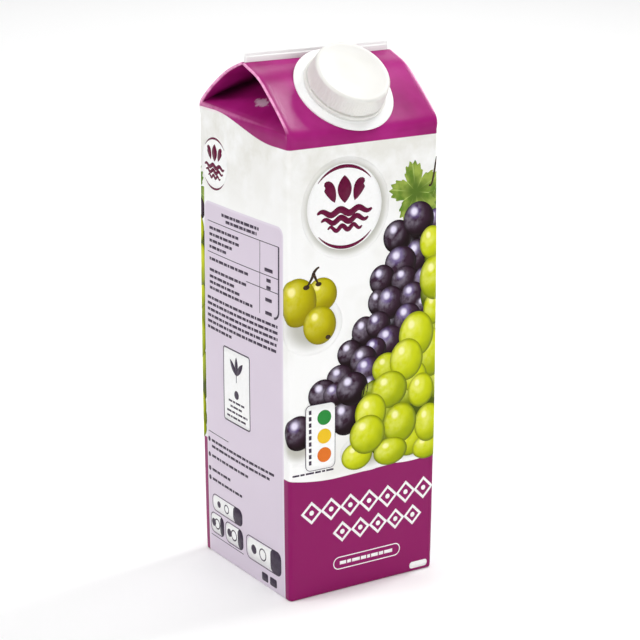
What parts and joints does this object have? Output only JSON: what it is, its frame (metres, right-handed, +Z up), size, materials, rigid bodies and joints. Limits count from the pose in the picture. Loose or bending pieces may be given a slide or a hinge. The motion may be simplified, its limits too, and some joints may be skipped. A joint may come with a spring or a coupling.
{
  "type": "juice carton",
  "caption": "Tall square gable-top juice carton of coated board with folded-in roof gussets, a top fin, and a round screw cap on a flat collar on the front roof panel.",
  "frame": {"origin": "middle of the base, on the surface the carton stands on", "axes": "+Z up, along the carton's height; -Y is the front panel, which carries the spout; X runs along the front panel"},
  "size_m": [0.0742, 0.0757, 0.2258],
  "materials": {
    "board": "printed coated board, satin",
    "collar": "moulded polyethylene, satin",
    "cap": "moulded polyethylene, satin"
  },
  "bodies": {
    "root": {"carton": "board", "collar": "collar", "cap": "cap"}
  },
  "joints": []
}
